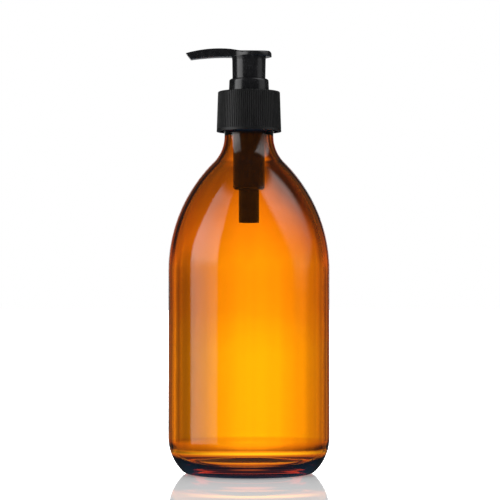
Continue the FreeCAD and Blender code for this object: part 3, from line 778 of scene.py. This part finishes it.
# What refracted rays see, by elevation and by azimuth in degrees. Levels are halved here, because a
# ramp holds at most 1, and doubled in the world.
GLOW_BY_RISE = [
    (-90.0, (0.6, 0.55, 0.5)),
    (-54.0, (0.6, 0.55, 0.5)),
    (-44.0, (0.03, 0.02, 0.02)),
    (-30.0, (0.03, 0.02, 0.02)),
    (-24.0, (0.05, 0.03, 0.03)),
    (-19.0, (0.42, 0.2, 0.2)),
    (-14.0, (0.5, 0.24, 0.24)),
    (-9.0, (0.75, 0.5, 0.5)),
    (-6.0, (1.0, 0.93, 1.0)),
    (-1.6, (1.0, 0.97, 1.0)),
    (-0.9, (0.95, 0.84, 0.9)),
    (-0.3, (0.88, 0.69, 0.8)),
    (0.6, (0.86, 0.64, 0.7)),
    (1.2, (0.86, 0.67, 0.7)),
    (2.1, (0.82, 0.57, 0.6)),
    (3.0, (0.74, 0.46, 0.5)),
    (4.4, (0.42, 0.24, 0.3)),
    (5.4, (0.2, 0.12, 0.15)),
    (6.8, (0.05, 0.03, 0.04)),
    (12.0, (0.04, 0.03, 0.04)),
]
GLOW_BY_SIDE = [
    (-22.5, 0.3),
    (-17.0, 0.46),
    (-12.0, 0.18),
    (-6.0, 0.24),
    (-3.4, 0.48),
    (-1.8, 0.74),
    (-0.5, 0.96),
    (0.8, 1.0),
    (3.0, 0.8),
    (4.5, 0.69),
    (6.6, 0.52),
    (10.0, 0.48),
    (14.0, 0.24),
    (22.5, 0.2),
]
LEFT_BY_SIDE = [(-22.5, 0.3), (-6.0, 0.3), (-1.0, 0.0), (22.5, 0.0)]
LEFT_BY_RISE = [
    (-6.0, 0.0),
    (0.5, 0.0),
    (2.6, (0.8, 0.5, 0.6)),
    (6.0, (0.8, 0.5, 0.6)),
    (12.0, 0.3),
    (30.0, 0.1),
]
# What reflected rays see of the dim room, by elevation.
ROOM_BY_RISE = [
    (-90.0, (0.10, 0.2, 0.34)),
    (-40.0, (0.08, 0.15, 0.26)),
    (-20.0, (0.03, 0.04, 0.05)),
    (0.0, (0.04, 0.04, 0.04)),
    (90.0, (0.06, 0.06, 0.06)),
]

# The light cards: millimetres for the centre's height, metres for the distance.
CARD_CENTRE = 100.0
CARD_DISTANCE = 1.2
CARD_STEPS = 28
OVERHEAD_SIZE = 1.6
OVERHEAD_LEVEL = 0.9
OVERHEAD_PLACE = (0.0, -0.4, 1.4)

FLOOR_SIZE = 30.0
FLOOR_DROP = 0.00002
FLOOR_GLOW = 0.2
SURROUND_RADIUS = 40.0
SURROUND_GLOW = 2.5


def make_camera():
    camera = bpy.data.objects.new("camera", bpy.data.cameras.new("camera"))
    camera.data.lens = LENS
    camera.data.sensor_width = SENSOR
    camera.data.clip_end = 100
    camera.location = (CAMERA_SIDE, -CAMERA_DISTANCE, CAMERA_HEIGHT)
    aim = Vector((CAMERA_SIDE, 0, AIM_HEIGHT)) - camera.location
    camera.rotation_euler = aim.to_track_quat("-Z", "Y").to_euler()
    bpy.context.scene.collection.objects.link(camera)
    bpy.context.scene.camera = camera


def make_floor():
    """A wide pale floor with a deep polish."""
    bpy.ops.mesh.primitive_plane_add(size=FLOOR_SIZE, location=(0, 0, -FLOOR_DROP))
    floor = bpy.context.object
    floor.name = "floor"
    material, tree, shader, _ = new_material("pale_floor")
    noise = object_noise(tree, 3.0)
    gloss = spread(tree, noise, 0.012, 0.028)
    tree.links.new(gloss.outputs["Result"], shader.inputs["Roughness"])
    shader.inputs["Base Color"].default_value = (0.93, 0.93, 0.93, 1)
    shader.inputs["Emission Color"].default_value = (1, 1, 1, 1)
    shader.inputs["Emission Strength"].default_value = FLOOR_GLOW
    floor.data.materials.append(material)
    floor.visible_transmission = False
    floor.visible_glossy = False
    return floor


def link_to_floor(item, floor, state):
    """Let a glowing thing light the floor alone (INCLUDE) or everything but it (EXCLUDE)."""
    receivers = bpy.data.collections.new(item.name + "_receivers")
    receivers.objects.link(floor)
    item.light_linking.receiver_collection = receivers
    receivers.collection_objects[0].light_linking.link_state = state


def glowing_film(name):
    """A material that adds light to what shows through it, with its tree and its light."""
    material = bpy.data.materials.new(name)
    material.use_nodes = True
    tree = material.node_tree
    tree.nodes.clear()
    light = tree.nodes.new("ShaderNodeEmission")
    clear = tree.nodes.new("ShaderNodeBsdfTransparent")
    both = tree.nodes.new("ShaderNodeAddShader")
    output = tree.nodes.new("ShaderNodeOutputMaterial")
    tree.links.new(light.outputs["Emission"], both.inputs[0])
    tree.links.new(clear.outputs["BSDF"], both.inputs[1])
    tree.links.new(both.outputs["Shader"], output.inputs["Surface"])
    return material, tree, light


def make_surround(floor):
    """A white dome that only the floor reflects. The glass reflects the dim world past it."""
    bpy.ops.mesh.primitive_uv_sphere_add(segments=48, ring_count=24, radius=SURROUND_RADIUS)
    dome = bpy.context.object
    dome.name = "floor_surround"
    material, _, light = glowing_film("floor_surround")
    light.inputs["Strength"].default_value = SURROUND_GLOW
    dome.data.materials.append(material)
    dome.visible_camera = False
    dome.visible_transmission = False
    dome.visible_diffuse = False
    dome.visible_shadow = False
    link_to_floor(dome, floor, "INCLUDE")


def make_overhead():
    """A large soft light above the bottle, which no reflection shows."""
    light = bpy.data.lights.new("overhead", "AREA")
    light.shape = "RECTANGLE"
    light.size = OVERHEAD_SIZE
    light.size_y = OVERHEAD_SIZE
    light.energy = OVERHEAD_LEVEL * math.pi * OVERHEAD_SIZE * OVERHEAD_SIZE
    item = bpy.data.objects.new("overhead", light)
    item.location = OVERHEAD_PLACE
    item.rotation_euler = (-item.location).to_track_quat("-Z", "Y").to_euler()
    item.visible_camera = False
    item.visible_transmission = False
    item.visible_glossy = False
    bpy.context.scene.collection.objects.link(item)


def ramp_node(tree, source, low, high, stops):
    """A ramp of grey levels or colours over a range of a value."""
    share = tree.nodes.new("ShaderNodeMapRange")
    share.inputs["From Min"].default_value = low
    share.inputs["From Max"].default_value = high
    tree.links.new(source, share.inputs["Value"])
    ramp = tree.nodes.new("ShaderNodeValToRGB")
    elements = ramp.color_ramp.elements
    for number, (place_on, level) in enumerate(stops):
        position = (place_on - low) / (high - low)
        stop = elements[number] if number < 2 else elements.new(position)
        stop.position = position
        colour = level if isinstance(level, tuple) else (level, level, level)
        stop.color = (*colour, 1)
    tree.links.new(share.outputs["Result"], ramp.inputs["Fac"])
    return ramp.outputs["Color"]


def mixed(tree, kind, first, second, factor=1.0):
    """Two colours blended, multiplied or added."""
    node = tree.nodes.new("ShaderNodeMix")
    node.data_type = "RGBA"
    node.blend_type = kind
    if isinstance(factor, float):
        node.inputs["Factor"].default_value = factor
    else:
        tree.links.new(factor, node.inputs["Factor"])
    for socket, source in (("A", first), ("B", second)):
        place_in = [item for item in node.inputs if item.name == socket and item.type == "RGBA"][0]
        if isinstance(source, tuple):
            place_in.default_value = source
        else:
            tree.links.new(source, place_in)
    return [item for item in node.outputs if item.type == "RGBA"][0]


def math_node(tree, operation, first, second=None, third=None):
    """One step of arithmetic on sockets or numbers."""
    node = tree.nodes.new("ShaderNodeMath")
    node.operation = operation
    for number, source in enumerate((first, second, third)):
        if source is None:
            continue
        if isinstance(source, (int, float)):
            node.inputs[number].default_value = source
        else:
            tree.links.new(source, node.inputs[number])
    return node.outputs["Value"]


def make_world():
    """A white studio to the camera. The glass sees a low bright glow with dark above and beside.

    Elevations and azimuths are in degrees. Azimuth 0 is straight behind the bottle, positive to
    the camera's right, and the glow is repeated every 45 degrees for other views.
    """
    world = bpy.data.worlds.new("studio")
    bpy.context.scene.world = world
    world.use_nodes = True
    tree = world.node_tree
    tree.nodes.clear()
    place_node = tree.nodes.new("ShaderNodeTexCoord")
    split = tree.nodes.new("ShaderNodeSeparateXYZ")
    tree.links.new(place_node.outputs["Generated"], split.inputs["Vector"])
    to_degrees = 180 / math.pi
    rise = math_node(tree, "MULTIPLY", math_node(tree, "ARCSINE", split.outputs["Z"]), to_degrees)
    around = math_node(tree, "ARCTAN2", split.outputs["X"], split.outputs["Y"])
    around = math_node(tree, "MULTIPLY", around, to_degrees)
    lobe = math_node(tree, "WRAP", around, 22.5, -22.5)

    glow = ramp_node(tree, rise, -90.0, 12.0, GLOW_BY_RISE)
    sideways = ramp_node(tree, lobe, -22.5, 22.5, GLOW_BY_SIDE)
    flatten = ramp_node(tree, rise, -12.0, -4.0, [(-12.0, 1.0), (-9.0, 1.0), (-5.5, 0.0), (-4.0, 0.0)])
    sideways = mixed(tree, "MIX", sideways, (0.8, 0.8, 0.8, 1), flatten)
    through = mixed(tree, "MULTIPLY", glow, sideways)
    left = mixed(
        tree,
        "MULTIPLY",
        ramp_node(tree, lobe, -22.5, 22.5, LEFT_BY_SIDE),
        ramp_node(tree, rise, -6.0, 30.0, LEFT_BY_RISE),
    )
    through = mixed(tree, "ADD", through, left)

    behind = math_node(tree, "ABSOLUTE", around)
    window = mixed(
        tree,
        "MULTIPLY",
        ramp_node(tree, behind, 0.0, 40.0, [(0.0, 1.0), (12.0, 1.0), (20.0, 0.0), (40.0, 0.0)]),
        ramp_node(tree, rise, -10.0, 30.0, [(-10.0, 0.0), (-1.0, 1.0), (14.0, 1.0), (22.0, 0.0)]),
    )
    room = ramp_node(tree, rise, -90.0, 90.0, ROOM_BY_RISE)
    mirrored = mixed(tree, "ADD", window, room)

    path = tree.nodes.new("ShaderNodeLightPath")
    seen = mixed(tree, "MIX", (0.8, 0.8, 0.8, 1), mirrored, path.outputs["Is Glossy Ray"])
    seen = mixed(tree, "MIX", seen, through, path.outputs["Is Transmission Ray"])
    strength = mixed(
        tree, "MIX", (1.0, 1.0, 1.0, 1), (2.0, 2.0, 2.0, 1), path.outputs["Is Transmission Ray"]
    )
    seen = mixed(tree, "MULTIPLY", seen, strength)
    seen = mixed(tree, "MIX", seen, (1.0, 1.0, 1.0, 1), path.outputs["Is Camera Ray"])
    light = tree.nodes.new("ShaderNodeBackground")
    output = tree.nodes.new("ShaderNodeOutputWorld")
    tree.links.new(seen, light.inputs["Color"])
    tree.links.new(light.outputs["Background"], output.inputs["Surface"])


def light_card(name, azimuths, rises, level):
    """A glowing studio card seen only in reflections.

    It spans azimuths and elevations in degrees about the bottle, azimuth 0 at the camera and 90
    to its right. level(azimuth, rise) is its brightness there.
    """
    vertices, faces, levels = [], [], []
    for row in range(CARD_STEPS + 1):
        rise = rises[0] + (rises[1] - rises[0]) * row / CARD_STEPS
        for column in range(CARD_STEPS + 1):
            azimuth = azimuths[0] + (azimuths[1] - azimuths[0]) * column / CARD_STEPS
            turn, tilt = math.radians(azimuth), math.radians(rise)
            flat = CARD_DISTANCE * math.cos(tilt) / MM
            height = CARD_DISTANCE * math.sin(tilt) / MM + CARD_CENTRE
            vertices.append((flat * math.sin(turn), -flat * math.cos(turn), height))
            levels.append(max(level(azimuth, rise), 0.0))
    for row in range(CARD_STEPS):
        for column in range(CARD_STEPS):
            corner = row * (CARD_STEPS + 1) + column
            faces.append((corner, corner + 1, corner + CARD_STEPS + 2, corner + CARD_STEPS + 1))
    mesh = bpy.data.meshes.new(name)
    mesh.from_pydata([tuple(v * MM for v in vertex) for vertex in vertices], [], faces)
    glow = mesh.attributes.new("glow", "FLOAT", "POINT")
    glow.data.foreach_set("value", levels)
    card = bpy.data.objects.new(name, mesh)
    bpy.context.scene.collection.objects.link(card)
    material, tree, light = glowing_film(name)
    read = tree.nodes.new("ShaderNodeAttribute")
    read.attribute_name = "glow"
    tree.links.new(read.outputs["Fac"], light.inputs["Strength"])
    mesh.materials.append(material)
    card.visible_camera = False
    card.visible_transmission = False
    card.visible_diffuse = False
    card.visible_shadow = False
    return card


def fade(value, low, high):
    """0 below low, 1 above high, smooth between. low may be the larger, to fade out."""
    share = min(max((value - low) / (high - low), 0.0), 1.0)
    return share * share * (3 - 2 * share)


def left_level(azimuth, rise):
    """The left soft box: crisp sides that lean in as it climbs, brighter on its far side."""
    lean = 8 * fade(rise, 8, 40)
    edge = fade(azimuth, -91 + lean, -87 + lean) * fade(azimuth, -43 + 0.4 * lean, -47 + 0.4 * lean)
    edge *= fade(rise, 60, 50) * fade(rise, -16, -11)
    side = 0.6 + 0.4 * fade(azimuth, -48, -82)
    return edge * (1.9 * side + 1.5 * fade(rise, 2, 9) - 1.2 * fade(rise, 20, 44))


def right_level(azimuth, rise):
    """The right soft box: a soft shape that narrows downwards to a point near the horizon."""
    climb = max(rise, 0)
    left_side = 68 - 31 * climb / 55
    right_side = 89 + min(1.1 * climb, 16)
    edge = fade(azimuth, left_side - 5, left_side + 5) * fade(azimuth, right_side + 7, right_side - 7)
    edge *= fade(rise, -1, 1) * fade(rise, 66, 58)
    return edge * (0.5 + 1.5 * fade(rise, 10, 48))


def make_lights(floor):
    left = light_card("left_soft_box", (-93, -35), (-18, 61), left_level)
    right = light_card("right_soft_box", (25, 115), (-3, 67), right_level)
    for card in (left, right):
        link_to_floor(card, floor, "EXCLUDE")
    make_overhead()


# ---------------------------------------------------------------- the scene
make_camera()
floor = make_floor()
make_surround(floor)
make_world()
make_lights(floor)
bpy.context.scene.view_settings.view_transform = "Standard"

BLACK = (0.006, 0.006, 0.007)
CHARCOAL = (0.010, 0.010, 0.011)
gloss_black = plastic("gloss_black", BLACK, CHARCOAL, 0.2, 2600.0, 0.00002)
matte_black = plastic("matte_black", (0.003, 0.003, 0.003), (0.005, 0.005, 0.005), 0.5, 3800.0, 0.00004)
inner_black = plastic("inner_black", (0.012, 0.011, 0.011), (0.02, 0.019, 0.019), 0.34, 2200.0, 0.00003)
natural = plastic("natural_plastic", (0.62, 0.62, 0.58), (0.74, 0.74, 0.7), 0.42, 2200.0, 0.00004)
liner = plastic("liner_foam", (0.7, 0.7, 0.68), (0.85, 0.85, 0.83), 0.8, 5200.0, 0.00012)
spring_wire = metal("spring_wire", (0.62, 0.61, 0.6), 0.28)
ball_steel = metal("ball_steel", (0.7, 0.7, 0.71), 0.12)

make_bottle()
make_chaplet(gloss_black)
make_housing(inner_black)
make_head(gloss_black)
make_skirt(gloss_black)
make_spring(spring_wire)
dress("closure", matte_black)
dress("gasket", liner)
dress("stem", inner_black)
dress("stem_guide", inner_black)
dress("piston_seal", natural)
dress("ball_cage", natural)
dress("inlet_ball", ball_glass())
dress("outlet_ball", ball_steel)
dress("dip_tube", clear_tube_material())

bpy.context.view_layer.update()
